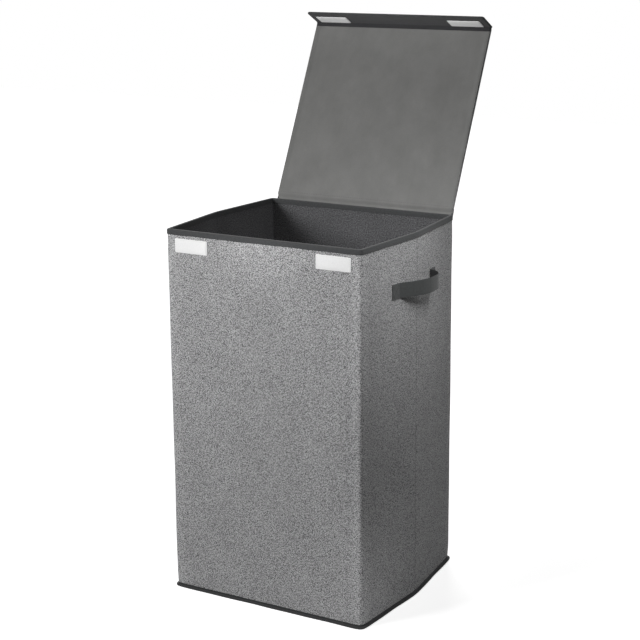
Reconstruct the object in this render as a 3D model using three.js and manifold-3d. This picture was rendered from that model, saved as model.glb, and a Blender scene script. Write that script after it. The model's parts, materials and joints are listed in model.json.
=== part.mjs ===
// A tall fabric laundry hamper with a flap lid, standing with its lid open.
//
// Units are millimetres. +X is the hamper's right, +Y its back, +Z is up, and the origin is the middle of
// its underside. Each wall is a sandwich of outer fabric, a stiff board and a lining, with tape folded over
// its rim. The two side walls crease down the middle and fold inwards, so that the front wall comes back to
// the back wall. The base board lifts about its rear edge and stands against the back wall before that.
import * as THREE from 'three';
import { mergeVertices } from 'three/addons/utils/BufferGeometryUtils.js';
import Module from 'manifold-3d';

const wasm = await Module();
wasm.setup();

// Overall size: width and depth over the outer fabric at the corners, height to the top of the rim tape.
const width = 358;
const depth = 326;
const height = 620;
const sideBulge = 14;
const cornerRadius = 6;

// Layers of the walls and the lid. Neighbouring layers lie one layer gap apart.
const fabricThickness = 0.8;
const boardThickness = 2;
const liningThickness = 0.6;
const layerGap = 0.3;
const boardInset = 5;
const boardCornerRadius = 8;

// Rim tape, folded over the top edge of each wall.
const rimTapeThickness = 0.8;
const rimTapeDrop = 10;
const rimTapeFold = 0.5;

// Folding room: at the corners the side walls stand clear of the stowed base board. At the creases their
// ends are trimmed, and the crease line lies just outside the rim tape.
const stowRoom = 5;
const creaseTrim = 0.8;
const creaseClearance = 0.2;

// Base: a bound seam round the foot, a floor cloth inside it, and a covered board lying on the cloth.
const seamHeight = 5.8;
const seamLip = 4.5;
const seamRound = 1.4;
const floorClothThickness = 1.2;
const baseBoardThickness = 2;
const baseCoverThickness = 0.6;
const baseCoverHem = 24;
const baseBoardClearance = 3;
const baseBoardCornerRadius = 4;
const stowClearance = 0.5;

// Lid: its rear flap is sewn to the back wall below the rim, and it leans back when it stands open.
const lidLean = THREE.MathUtils.degToRad(26.5);
const lidSideInset = 5;
const lidSeamDrop = 20;
const lidRimClearance = 0.5;
const lidHem = 7;
const lidEdgeRadius = 0.7;
const hingeTrim = 0.46;
const lidCreaseBand = 5;
const seamTapeHeight = 8;
const seamTapeClearance = 0.4;

// Front flap of the lid, which is bent square to it, and the fastener patches that hold it shut.
const flapBend = THREE.MathUtils.degToRad(90);
const flapLength = 44;
const flapBoardThickness = 1.5;
const flapBoardInset = 4;
const flapCornerRadius = 4;
const patchWidth = 62;
const patchHeight = 23;
const patchThickness = 1.2;
const patchCornerRadius = 1.5;
const patchSideInset = 17;
const loopPatchDrop = 14;
const hookPatchDrop = 8;
const hookClearance = 1.5;

// Handles: webbing sewn down at both ends, bowed out across the crease of each side wall. The drop runs from
// the rim to the middle of the webbing. A fullness of two makes the bow a parabola, and more squarer.
const handleDrop = 84;
const handleHalfSpan = 76;
const handleTab = 21;
const handleBow = 28;
const handleFullness = 2.7;
const webbingWidth = 25;
const webbingThickness = 1.6;

// How finely curves are faceted, and how far a cut runs past what it cuts.
const arcSegments = 6;
const bowSegments = 24;
const cutOverrun = 1;

// Worked out from the sizes above.
const wallThickness = fabricThickness + boardThickness + liningThickness + 2 * layerGap;
const tapeStandOff = layerGap + rimTapeThickness;
const wallBottom = seamHeight + layerGap;
const wallTop = height - tapeStandOff;
const cornerX = width / 2 - wallThickness;
const cornerY = depth / 2 - wallThickness - stowRoom;
const sideTilt = Math.atan2(sideBulge, cornerY);
const creaseOut = wallThickness + tapeStandOff + creaseClearance;
const creaseRun = (cornerY + creaseOut * Math.sin(sideTilt)) / Math.cos(sideTilt);
const panelLength = creaseRun - creaseTrim;
const cornerReturn = wallThickness + stowRoom - (wallThickness + tapeStandOff) * Math.sin(sideTilt) - layerGap;
const halfWidth = width / 2;
const halfDepth = depth / 2;

const materials = {
  fabric: new THREE.MeshStandardMaterial({ color: 0x858686, roughness: 0.95, metalness: 0 }),
  board: new THREE.MeshStandardMaterial({ color: 0x9c8a6c, roughness: 0.9, metalness: 0 }),
  lining: new THREE.MeshStandardMaterial({ color: 0x2c2c2e, roughness: 0.95, metalness: 0 }),
  lidLining: new THREE.MeshStandardMaterial({ color: 0x6e6e6c, roughness: 0.9, metalness: 0 }),
  tape: new THREE.MeshStandardMaterial({ color: 0x3a3a3b, roughness: 0.9, metalness: 0 }),
  webbing: new THREE.MeshStandardMaterial({ color: 0x3c3e3e, roughness: 0.8, metalness: 0 }),
  fastener: new THREE.MeshStandardMaterial({ color: 0xe9e9e8, roughness: 0.85, metalness: 0 }),
};

const hamper = new THREE.Group();

function addMesh(parent, name, geometry, material) {
  const mesh = new THREE.Mesh(geometry, material);
  mesh.name = name;
  parent.add(mesh);
  return mesh;
}

function addGroup(parent, x, y, z) {
  const group = new THREE.Group();
  group.position.set(x, y, z);
  parent.add(group);
  return group;
}

// Booleans: a geometry becomes a solid, and a solid a geometry again.
function toSolid(geometry) {
  const bare = new THREE.BufferGeometry();
  bare.setAttribute('position', geometry.getAttribute('position').clone());
  if (geometry.index) bare.setIndex(geometry.index.clone());
  const merged = mergeVertices(bare);
  return new wasm.Manifold(new wasm.Mesh({
    numProp: 3,
    vertProperties: new Float32Array(merged.getAttribute('position').array),
    triVerts: new Uint32Array(merged.index.array),
  }));
}

function toGeometry(solid) {
  const mesh = solid.getMesh();
  const geometry = new THREE.BufferGeometry();
  geometry.setAttribute('position', new THREE.BufferAttribute(new Float32Array(mesh.vertProperties), mesh.numProp));
  geometry.setIndex(new THREE.BufferAttribute(new Uint32Array(mesh.triVerts), 1));
  geometry.computeVertexNormals();
  return geometry;
}

function box(x0, x1, y0, y1, z0, z1) {
  const geometry = new THREE.BoxGeometry(x1 - x0, y1 - y0, z1 - z0);
  return geometry.translate((x0 + x1) / 2, (y0 + y1) / 2, (z0 + z1) / 2);
}

// An outline seen from above, raised from one height to another.
function raise(outline, z0, z1) {
  const geometry = new THREE.ExtrudeGeometry(outline, {
    depth: z1 - z0,
    bevelEnabled: false,
    curveSegments: arcSegments,
  });
  return geometry.translate(0, 0, z0);
}

function roundedRectangle(x0, x1, y0, y1, radius) {
  const shape = new THREE.Shape();
  shape.absarc(x1 - radius, y0 + radius, radius, -Math.PI / 2, 0);
  shape.absarc(x1 - radius, y1 - radius, radius, 0, Math.PI / 2);
  shape.absarc(x0 + radius, y1 - radius, radius, Math.PI / 2, Math.PI);
  shape.absarc(x0 + radius, y0 + radius, radius, Math.PI, 1.5 * Math.PI);
  return shape;
}

// An upright sheet with round corners, from y0 to y1, as seen from the front.
function uprightSheet(x0, x1, z0, z1, radius, y0, y1) {
  const geometry = new THREE.ExtrudeGeometry(roundedRectangle(x0, x1, z0, z1, radius), {
    depth: y1 - y0,
    bevelEnabled: false,
    curveSegments: arcSegments,
  });
  return geometry.rotateX(Math.PI / 2).translate(0, y1, 0);
}

// A profile given in y and z, run along x from x0 to x1.
function runAlongX(profile, x0, x1) {
  const geometry = new THREE.ExtrudeGeometry(profile, {
    depth: x1 - x0,
    bevelEnabled: false,
    curveSegments: arcSegments,
  });
  const turn = new THREE.Matrix4().makeBasis(
    new THREE.Vector3(0, 1, 0),
    new THREE.Vector3(0, 0, 1),
    new THREE.Vector3(1, 0, 0),
  );
  return geometry.applyMatrix4(turn).translate(x0, 0, 0);
}

// Front and back walls. In their own frame the outer face lies at y = 0 and the inside is towards +y.
// The outer fabric turns both corners and ends in a short return, where the side wall's hinge begins.
function cornerPath(offset) {
  const radius = cornerRadius + offset;
  const path = new THREE.Path();
  path.moveTo(-halfWidth - offset, cornerReturn);
  path.absarc(-halfWidth + cornerRadius, cornerRadius, radius, Math.PI, 1.5 * Math.PI);
  path.absarc(halfWidth - cornerRadius, cornerRadius, radius, 1.5 * Math.PI, 2 * Math.PI);
  path.lineTo(halfWidth + offset, cornerReturn);
  return path.getPoints(arcSegments);
}

function fabricOutline() {
  return new THREE.Shape([...cornerPath(0), ...cornerPath(-fabricThickness).reverse()]);
}

// The space a wall fills, seen from above, grown by an offset, with its returns run on by an overrun.
function wallOutline(offset, overrun) {
  const returnEnd = cornerReturn + overrun;
  const returnInside = halfWidth - fabricThickness - offset;
  const inside = wallThickness + offset;
  return new THREE.Shape([
    new THREE.Vector2(-halfWidth - offset, returnEnd),
    ...cornerPath(offset),
    new THREE.Vector2(halfWidth + offset, returnEnd),
    new THREE.Vector2(returnInside, returnEnd),
    new THREE.Vector2(returnInside, inside),
    new THREE.Vector2(-returnInside, inside),
    new THREE.Vector2(-returnInside, returnEnd),
  ]);
}

function wallRimTape() {
  const outer = toSolid(raise(wallOutline(tapeStandOff, 0), height - rimTapeDrop, height));
  const slot = toSolid(raise(wallOutline(layerGap, cutOverrun), height - rimTapeDrop - cutOverrun, height - rimTapeThickness));
  return toGeometry(outer.subtract(slot));
}

function addFlatWall(name, group) {
  const boardHalf = halfWidth - cornerRadius;
  const boardFace = fabricThickness + layerGap;
  const liningFace = wallThickness - liningThickness;
  const sheets = {
    board: uprightSheet(-boardHalf, boardHalf, wallBottom + boardInset, wallTop - layerGap, boardCornerRadius,
      boardFace, boardFace + boardThickness),
    lining: box(-cornerX, cornerX, liningFace, wallThickness, wallBottom, wallTop),
  };
  addMesh(group, `${name}_fabric`, raise(fabricOutline(), wallBottom, wallTop), materials.fabric);
  addMesh(group, `${name}_board`, sheets.board, materials.board);
  addMesh(group, `${name}_lining`, sheets.lining, materials.lining);
  addMesh(group, `${name}_rim_tape`, wallRimTape(), materials.tape);
}

const backWall = addGroup(hamper, 0, halfDepth, 0);
backWall.rotation.z = Math.PI;
addFlatWall('back', backWall);

const frontWall = addGroup(hamper, 0, -halfDepth, 0);
addFlatWall('front', frontWall);

// Side walls, each in a rear and a front half that lean out to the crease. In its own frame a half runs
// along +x from its corner hinge, its inner face lies at y = 0, and its outside is towards hand times +y.
function tapeProfile(hand) {
  const inner = -tapeStandOff;
  const outer = wallThickness + tapeStandOff;
  const bottom = height - rimTapeDrop;
  const underside = height - rimTapeThickness;
  const points = [
    [inner, bottom],
    [inner, height - rimTapeFold],
    [inner + rimTapeFold, height],
    [outer - rimTapeFold, height],
    [outer, height - rimTapeFold],
    [outer, bottom],
    [outer - rimTapeThickness, bottom],
    [outer - rimTapeThickness, underside],
    [inner + rimTapeThickness, underside],
    [inner + rimTapeThickness, bottom],
  ];
  return new THREE.Shape(points.map(([y, z]) => new THREE.Vector2(hand * y, z)));
}

function layerRange(hand, inner, outer) {
  return hand > 0 ? [inner, outer] : [-outer, -inner];
}

function addSideHalf(name, sideX, sideY) {
  const hand = sideX * sideY;
  const group = addGroup(hamper, sideX * cornerX, sideY * cornerY, 0);
  group.rotation.z = -sideY * (Math.PI / 2 - sideX * sideTilt);
  const [fabricIn, fabricOut] = layerRange(hand, wallThickness - fabricThickness, wallThickness);
  const boardFace = liningThickness + layerGap;
  const [boardIn, boardOut] = layerRange(hand, boardFace, boardFace + boardThickness);
  const [liningIn, liningOut] = layerRange(hand, 0, liningThickness);
  addMesh(group, `${name}_fabric`, box(0, panelLength, fabricIn, fabricOut, wallBottom, wallTop), materials.fabric);
  addMesh(group, `${name}_board`, uprightSheet(boardInset, panelLength - boardInset, wallBottom + boardInset,
    wallTop - layerGap, boardCornerRadius, boardIn, boardOut), materials.board);
  addMesh(group, `${name}_lining`, box(0, panelLength, liningIn, liningOut, wallBottom, wallTop), materials.lining);
  addMesh(group, `${name}_rim_tape`, runAlongX(tapeProfile(hand), 0, panelLength), materials.tape);
}

addSideHalf('right_rear', 1, 1);
addSideHalf('right_front', 1, -1);
addSideHalf('left_rear', -1, 1);
addSideHalf('left_front', -1, -1);

// Base. The foot seam follows the walls round, creases and all, and stands out past them as a lip.
function outerFaceX(y) {
  const run = cornerY + wallThickness * Math.sin(sideTilt) - Math.abs(y);
  return cornerX + wallThickness * Math.cos(sideTilt) + run * Math.tan(sideTilt);
}

function footOutline(offset) {
  const radius = cornerRadius + offset;
  const centreX = halfWidth - cornerRadius;
  const centreY = halfDepth - cornerRadius;
  const crease = outerFaceX(0) + offset;
  const shape = new THREE.Shape();
  shape.moveTo(crease, 0);
  shape.absarc(centreX, centreY, radius, 0, Math.PI / 2);
  shape.absarc(-centreX, centreY, radius, Math.PI / 2, Math.PI);
  shape.lineTo(-crease, 0);
  shape.absarc(-centreX, -centreY, radius, Math.PI, 1.5 * Math.PI);
  shape.absarc(centreX, -centreY, radius, 1.5 * Math.PI, 2 * Math.PI);
  return shape;
}

function floorOutline(inset) {
  const x = cornerX - inset;
  const y = halfDepth - wallThickness - inset;
  const crease = outerFaceX(0) - wallThickness - inset;
  return [
    new THREE.Vector2(crease, 0),
    new THREE.Vector2(x, y),
    new THREE.Vector2(-x, y),
    new THREE.Vector2(-crease, 0),
    new THREE.Vector2(-x, -y),
    new THREE.Vector2(x, -y),
  ];
}

const footShape = footOutline(seamLip - seamRound);
const footRing = new THREE.ExtrudeGeometry(footShape, {
  depth: seamHeight - 2 * seamRound,
  bevelEnabled: true,
  bevelThickness: seamRound,
  bevelSize: seamRound,
  bevelSegments: 3,
  curveSegments: arcSegments,
}).translate(0, 0, seamRound);
const floorHole = raise(new THREE.Shape(floorOutline(0)), -cutOverrun, seamHeight + cutOverrun);
addMesh(hamper, 'base_seam_binding', toGeometry(toSolid(footRing).subtract(toSolid(floorHole))), materials.tape);
addMesh(hamper, 'base_cloth', raise(new THREE.Shape(floorOutline(layerGap)), 0, floorClothThickness), materials.lining);

// The base board lies in its cover on the floor cloth, and turns up about its lower rear edge.
const baseBoard = addGroup(hamper, 0, 0, floorClothThickness + layerGap);
const baseDepth = 2 * baseCoverThickness + 2 * layerGap + baseBoardThickness;
const baseHingeY = halfDepth - wallThickness - stowClearance - baseDepth;
const baseHalfWidth = cornerX - baseBoardClearance;
const baseFront = -(halfDepth - wallThickness - baseBoardClearance);
const baseBack = baseHingeY - layerGap;

function baseCoverProfile() {
  const side = baseHalfWidth;
  const top = baseDepth;
  const inner = side - baseCoverThickness;
  const hem = side - baseCoverHem;
  const right = [
    [hem, 0],
    [side, 0],
    [side, top],
  ];
  const rightInside = [
    [inner, top - baseCoverThickness],
    [inner, baseCoverThickness],
    [hem, baseCoverThickness],
  ];
  const left = right.map(([x, z]) => [-x, z]).reverse();
  const leftInside = rightInside.map(([x, z]) => [-x, z]).reverse();
  const points = [...right, ...left, ...leftInside, ...rightInside];
  return new THREE.Shape(points.map(([x, z]) => new THREE.Vector2(x, z)));
}

const baseCover = new THREE.ExtrudeGeometry(baseCoverProfile(), { depth: baseBack - baseFront, bevelEnabled: false });
baseCover.rotateX(Math.PI / 2).translate(0, baseBack, 0);
const boardEdge = baseHalfWidth - baseCoverThickness - layerGap;
const boardUnderside = baseCoverThickness + layerGap;
addMesh(baseBoard, 'base_board_cover', baseCover, materials.lining);
addMesh(baseBoard, 'base_board_panel', raise(
  roundedRectangle(-boardEdge, boardEdge, baseFront + layerGap, baseBack - layerGap, baseBoardCornerRadius),
  boardUnderside, boardUnderside + baseBoardThickness), materials.board);

// Lid. Its rear flap, its panel and its front flap are one length of fabric, creased twice. In their own
// frames each runs up +z from its crease, the fabric lies at y = 0 and the inside is towards -y.
const lidHalfWidth = halfWidth - lidSideInset;
const fabricHalf = fabricThickness / 2;
const lidBoardFace = fabricHalf + layerGap;
const lidLiningFace = lidBoardFace + boardThickness + layerGap;
const lidHemFace = lidLiningFace + liningThickness + layerGap;
const lidStack = lidHemFace + fabricThickness;
const rearFlapPlane = tapeStandOff + layerGap + fabricHalf;
const rearFlapLength = lidSeamDrop + lidRimClearance + lidStack;
const flapBoardFace = fabricHalf + layerGap;
const flapLiningFace = flapBoardFace + flapBoardThickness + layerGap;
const flapStack = flapLiningFace + liningThickness;
const patchFace = flapStack + layerGap;
const flapPlane = layerGap + patchThickness + hookClearance + patchThickness + patchFace;
const lidLength = depth + rearFlapPlane + flapPlane;
const lidSeamHeight = height - lidSeamDrop;

addMesh(hamper, 'lid_seam_tape', box(-lidHalfWidth, lidHalfWidth, halfDepth + layerGap,
  halfDepth + rearFlapPlane + fabricHalf, lidSeamHeight - seamTapeHeight, lidSeamHeight - seamTapeClearance),
materials.tape);

const rearFlap = addGroup(hamper, 0, halfDepth + rearFlapPlane, lidSeamHeight);
rearFlap.rotation.x = -lidLean;
addMesh(rearFlap, 'rear_flap', box(-lidHalfWidth, lidHalfWidth, -fabricHalf, fabricHalf,
  hingeTrim, rearFlapLength - hingeTrim), materials.fabric);

// The lid's fabric wraps both side edges of its board and is hemmed over the lining.
function lidCoverOutline() {
  const side = lidHalfWidth;
  const radius = lidEdgeRadius;
  const hem = side - lidHem;
  const inner = side - fabricThickness;
  const shape = new THREE.Shape();
  shape.moveTo(hem, -lidHemFace);
  shape.lineTo(hem, -lidStack);
  shape.absarc(side - radius, -lidStack + radius, radius, -Math.PI / 2, 0);
  shape.absarc(side - radius, fabricHalf - radius, radius, 0, Math.PI / 2);
  shape.absarc(-side + radius, fabricHalf - radius, radius, Math.PI / 2, Math.PI);
  shape.absarc(-side + radius, -lidStack + radius, radius, Math.PI, 1.5 * Math.PI);
  shape.lineTo(-hem, -lidStack);
  shape.lineTo(-hem, -lidHemFace);
  shape.lineTo(-inner, -lidHemFace);
  shape.lineTo(-inner, -fabricHalf);
  shape.lineTo(inner, -fabricHalf);
  shape.lineTo(inner, -lidHemFace);
  return shape;
}

const lid = addGroup(rearFlap, 0, 0, rearFlapLength);
const lidInnerStart = lidCreaseBand;
const lidInnerEnd = lidLength - lidCreaseBand;

function lidCover() {
  const cover = toSolid(raise(lidCoverOutline(), hingeTrim, lidLength - hingeTrim));
  const across = lidHalfWidth + cutOverrun;
  const below = -lidStack - cutOverrun;
  const rearCut = toSolid(box(-across, across, below, -fabricHalf, 0, lidInnerStart));
  const frontCut = toSolid(box(-across, across, below, -fabricHalf, lidInnerEnd, lidLength));
  return toGeometry(cover.subtract(rearCut).subtract(frontCut));
}

const lidInside = lidHalfWidth - fabricThickness - layerGap;
addMesh(lid, 'lid_cover', lidCover(), materials.fabric);
addMesh(lid, 'lid_board', uprightSheet(-lidInside, lidInside, lidInnerStart, lidInnerEnd, boardCornerRadius,
  -lidBoardFace - boardThickness, -lidBoardFace), materials.board);
addMesh(lid, 'lid_lining', box(-lidInside, lidInside, -lidLiningFace - liningThickness, -lidLiningFace,
  lidInnerStart, lidInnerEnd), materials.lidLining);

// The front flap's fabric is turned in round its two sides and its tip, like a shallow tray.
const frontFlap = addGroup(lid, 0, 0, lidLength);
frontFlap.rotation.x = flapBend;

function flapCover() {
  const inner = lidHalfWidth - fabricThickness;
  const shell = toSolid(roundTipSheet(lidHalfWidth, flapLength, flapCornerRadius, -flapStack, fabricHalf));
  const hollow = toSolid(roundTipSheet(inner, flapLength - fabricThickness, flapCornerRadius - fabricThickness,
    -flapStack - cutOverrun, -fabricHalf));
  return toGeometry(shell.subtract(hollow));
}

// A sheet from the crease to a tip with two round corners.
function roundTipSheet(half, tip, radius, y0, y1) {
  const shape = new THREE.Shape();
  shape.moveTo(-half, hingeTrim);
  shape.lineTo(half, hingeTrim);
  shape.absarc(half - radius, tip - radius, radius, 0, Math.PI / 2);
  shape.absarc(-half + radius, tip - radius, radius, Math.PI / 2, Math.PI);
  const geometry = new THREE.ExtrudeGeometry(shape, {
    depth: y1 - y0,
    bevelEnabled: false,
    curveSegments: arcSegments,
  });
  return geometry.rotateX(Math.PI / 2).translate(0, y1, 0);
}

const flapInside = lidHalfWidth - fabricThickness - layerGap;
const flapInnerTip = flapLength - fabricThickness - layerGap;
const flapInnerRadius = flapCornerRadius - fabricThickness - layerGap;
addMesh(frontFlap, 'flap_cover', flapCover(), materials.fabric);
addMesh(frontFlap, 'flap_board', uprightSheet(-flapInside + flapBoardInset, flapInside - flapBoardInset,
  flapBoardInset, flapInnerTip - flapBoardInset, flapInnerRadius,
  -flapBoardFace - flapBoardThickness, -flapBoardFace), materials.board);
addMesh(frontFlap, 'flap_lining', roundTipSheet(flapInside, flapInnerTip, flapInnerRadius,
  -flapStack, -flapLiningFace), materials.lining);

// Fastener patches: loops on the front wall, hooks inside the flap, two of each.
function patch(side, z0, outerFace) {
  const outer = halfWidth - patchSideInset;
  const [x0, x1] = layerRange(side, outer - patchWidth, outer);
  return uprightSheet(x0, x1, z0, z0 + patchHeight, patchCornerRadius, outerFace - patchThickness, outerFace);
}

for (const [name, side] of [['left', -1], ['right', 1]]) {
  addMesh(frontWall, `${name}_loop_patch`, patch(side, height - loopPatchDrop - patchHeight, -layerGap),
    materials.fastener);
  addMesh(frontFlap, `${name}_hook_patch`, patch(side, hookPatchDrop, -patchFace), materials.fastener);
}

// Handles. Seen from above, the webbing lies on the wall at each end and bows out between the two tabs.
function handleOutline(side) {
  const bowHalf = handleHalfSpan - handleTab;
  const tabX = (y) => outerFaceX(y) + layerGap;
  const inner = [[tabX(handleHalfSpan), -handleHalfSpan]];
  for (let i = 0; i <= bowSegments; i += 1) {
    const share = (2 * i) / bowSegments - 1;
    inner.push([tabX(bowHalf) + handleBow * (1 - Math.abs(share) ** handleFullness), share * bowHalf]);
  }
  inner.push([tabX(handleHalfSpan), handleHalfSpan]);
  const outer = inner.map(([x, y], i) => {
    const [x0, y0] = inner[Math.max(i - 1, 0)];
    const [x1, y1] = inner[Math.min(i + 1, inner.length - 1)];
    const run = Math.hypot(x1 - x0, y1 - y0);
    return [x + (webbingThickness * (y1 - y0)) / run, y - (webbingThickness * (x1 - x0)) / run];
  });
  const points = [...inner, ...outer.reverse()];
  return new THREE.Shape(points.map(([x, y]) => new THREE.Vector2(side * x, y)));
}

const handleMiddle = height - handleDrop;
for (const [name, side] of [['right', 1], ['left', -1]]) {
  addMesh(hamper, `${name}_handle`, raise(handleOutline(side), handleMiddle - webbingWidth / 2,
    handleMiddle + webbingWidth / 2), materials.webbing);
}

export default hamper;
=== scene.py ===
# A tall folding laundry hamper of grey canvas over board, standing with its flap lid open. Everything is in
# metres: +X is the hamper's right, +Y its back, +Z is up, and the origin is the middle of its underside.
import json

import bpy
import numpy as np
from mathutils import Matrix, Vector


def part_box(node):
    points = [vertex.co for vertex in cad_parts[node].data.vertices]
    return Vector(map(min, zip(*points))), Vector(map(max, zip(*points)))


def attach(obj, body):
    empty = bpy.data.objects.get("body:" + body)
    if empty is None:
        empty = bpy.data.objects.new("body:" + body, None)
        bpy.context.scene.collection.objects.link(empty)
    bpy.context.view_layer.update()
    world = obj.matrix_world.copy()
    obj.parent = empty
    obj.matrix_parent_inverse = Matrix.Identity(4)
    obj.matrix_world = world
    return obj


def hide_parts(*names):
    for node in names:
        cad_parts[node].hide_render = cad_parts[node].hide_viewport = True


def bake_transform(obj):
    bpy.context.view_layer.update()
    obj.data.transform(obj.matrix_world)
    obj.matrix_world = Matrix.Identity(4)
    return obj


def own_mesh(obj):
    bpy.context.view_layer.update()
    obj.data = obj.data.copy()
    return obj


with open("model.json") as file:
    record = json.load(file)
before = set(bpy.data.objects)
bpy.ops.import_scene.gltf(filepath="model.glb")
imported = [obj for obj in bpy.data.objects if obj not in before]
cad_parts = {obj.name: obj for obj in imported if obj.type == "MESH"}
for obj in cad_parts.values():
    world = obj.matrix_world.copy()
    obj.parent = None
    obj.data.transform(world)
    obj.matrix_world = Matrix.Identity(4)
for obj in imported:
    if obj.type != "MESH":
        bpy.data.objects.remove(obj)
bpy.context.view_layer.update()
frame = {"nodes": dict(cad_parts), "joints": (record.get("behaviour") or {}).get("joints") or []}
pivot = {joint["name"]: np.array(joint["pos_m"]) for joint in frame["joints"]}

# Camera. It stands to the right of the hamper and looks slightly down on it through a long lens. Its place,
# its three directions and its small shift were solved from the corners of the hamper in the photograph.
camera_place = np.array([1.2641, -2.1686, 1.1007])
camera_yaw, camera_pitch, camera_roll = np.radians([-29.165, 13.375, -0.255])
camera = bpy.data.objects.new("camera", bpy.data.cameras.new("camera"))
bpy.context.scene.collection.objects.link(camera)
bpy.context.scene.camera = camera
ahead = np.array([
    np.sin(camera_yaw) * np.cos(camera_pitch),
    np.cos(camera_yaw) * np.cos(camera_pitch),
    -np.sin(camera_pitch),
])
level = np.cross(ahead, [0, 0, 1])
level /= np.linalg.norm(level)
upright = np.cross(level, ahead)
across = np.cos(camera_roll) * level + np.sin(camera_roll) * upright
camera_up = np.cos(camera_roll) * upright - np.sin(camera_roll) * level
placed = np.eye(4)
placed[:3] = np.column_stack([across, camera_up, -ahead, camera_place])
camera.matrix_world = Matrix(placed.tolist())
camera.data.sensor_width = 36
camera.data.lens = 87.0
camera.data.shift_x = -0.0336
camera.data.shift_y = -0.0473

# Outer cloth of the walls. The real one is heathered polyester canvas, cut in panels and sewn into a square
# tube over the boards. It turns the corners in a soft round and is creased down the middle of each side.
# Every panel follows the board behind it; the strips at the corners and over the right crease keep their
# places.
half_width, half_depth = 0.179, 0.163
crease_x = 0.1930
corner_round, crease_round = 0.006, 0.180
cloth_foot, cloth_rim = 0.0061, 0.6189
cloth_thickness = 0.0008


def joined(*columns):
    """Arrays side by side along a new last axis, each drawn out to the shape of the largest."""
    return np.stack(np.broadcast_arrays(*columns), axis=-1)


def crossed(rows, columns):
    """For each place of a grid, the value of its row and the value of its column."""
    return np.meshgrid(rows, columns, indexing="ij")


def distance_along(path):
    """The distance from the start of a path to each of its points: the running sum of its steps."""
    return np.concatenate([[0], np.cumsum(np.linalg.norm(np.diff(path, axis=0), axis=1))])


def round_corners(corners, radii, steps=9):
    """A smooth outline from a polygon, given anticlockwise: each corner becomes an arc that touches both of
    its sides, and starts at the radius times the tangent of half the turn before the corner. Returns the
    arcs' points and the heading at each."""
    onward = np.roll(corners, -1, axis=0) - corners
    onward /= np.linalg.norm(onward, axis=1)[:, None]
    inward = np.roll(onward, 1, axis=0)
    heading = np.arctan2(inward[:, 1], inward[:, 0])
    sideways = inward[:, 0] * onward[:, 1] - inward[:, 1] * onward[:, 0]
    turn = np.arctan2(sideways, (inward * onward).sum(axis=1))
    reach = radii * np.tan(turn / 2)
    angle = heading[:, None] + turn[:, None] * np.linspace(0, 1, steps)
    left = joined(-np.sin(heading), np.cos(heading))
    centre = corners - inward * reach[:, None] + left * radii[:, None]
    out = joined(np.sin(angle), -np.cos(angle))
    points = centre[:, None] + out * radii[:, None, None]
    return points.reshape(-1, 2), np.unwrap(angle.ravel())


wall_corners = np.array([
    [half_width, -half_depth],
    [crease_x, 0],
    [half_width, half_depth],
    [-half_width, half_depth],
    [-crease_x, 0],
    [-half_width, -half_depth],
])
wall_radii = np.array([corner_round, crease_round, corner_round, corner_round, crease_round, corner_round])
arcs, arc_heading = round_corners(wall_corners, wall_radii)
outline = np.vstack([[0, -half_depth], arcs, [0, -half_depth]])
outline_heading = np.concatenate([[0], arc_heading, [2 * np.pi]])
outline_s = distance_along(outline)
girth = outline_s[-1]


def on_outline(s, out):
    """The point at the distance s along the outline from the middle of the front, moved out square to it."""
    wrapped = np.mod(s, girth)
    heading = np.interp(wrapped, outline_s, outline_heading)
    x = np.interp(wrapped, outline_s, outline[:, 0]) + out * np.sin(heading)
    y = np.interp(wrapped, outline_s, outline[:, 1]) - out * np.cos(heading)
    return x, y


def side_s(y):
    """The distance along the outline at which the right side has come back to y."""
    right = outline_s < girth / 2
    return np.interp(y, outline[right, 1], outline_s[right])


# Each span of wall: its name, where it starts and ends along the outline, the body it follows, and for a
# bending strip the second body and the two places in y between which it goes over from one to the other.
# A corner strip starts at corner_start from the middle of the front or the back, has the corner at
# corner_middle beyond that, and ends at corner_y on the side. The strip over the right crease reaches
# crease_y to each side of it.
corner_start, corner_middle, corner_y, crease_y, left_gap = 0.163, 0.0155, 0.14, 0.016, 0.0002
front_end, back_start, back_end = corner_start, girth / 2 - corner_start, girth / 2 + corner_start
spans = [
    ("front", -corner_start, front_end, "front_wall", None, 0, 0),
    ("right_front_corner", front_end, side_s(-corner_y), "front_wall", "right_front_wall", -0.160, -0.148),
    ("right_front", side_s(-corner_y), side_s(-crease_y), "right_front_wall", None, 0, 0),
    ("right_crease", side_s(-crease_y), side_s(crease_y), "right_front_wall", "right_rear_wall",
     -0.010, 0.010),
    ("right_rear", side_s(crease_y), side_s(corner_y), "right_rear_wall", None, 0, 0),
    ("right_rear_corner", side_s(corner_y), back_start, "right_rear_wall", "back_wall", 0.148, 0.160),
    ("back", back_start, back_end, "back_wall", None, 0, 0),
    ("left_rear_corner", back_end, girth - side_s(corner_y), "back_wall", "left_rear_wall", 0.160, 0.148),
    ("left_rear", girth - side_s(corner_y), girth - side_s(left_gap), "left_rear_wall", None, 0, 0),
    ("left_front", girth - side_s(-left_gap), girth - side_s(-corner_y), "left_front_wall", None, 0, 0),
    ("left_front_corner", girth - side_s(-corner_y), girth - corner_start, "left_front_wall", "front_wall",
     -0.148, -0.160),
]


def set_on_walls(piece, span, solid=None):
    """Sets a piece of one span to ride on its wall, and hides the wall's solid of the given kind, if one is
    given. A strip that joins two walls is left where it stands, with its place made part of its mesh."""
    name, start, end, body, other, y0, y1 = span
    if other is None:
        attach(piece, body)
        if solid is not None:
            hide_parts(f"{name}_{solid}")
    else:
        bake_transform(piece)


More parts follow.
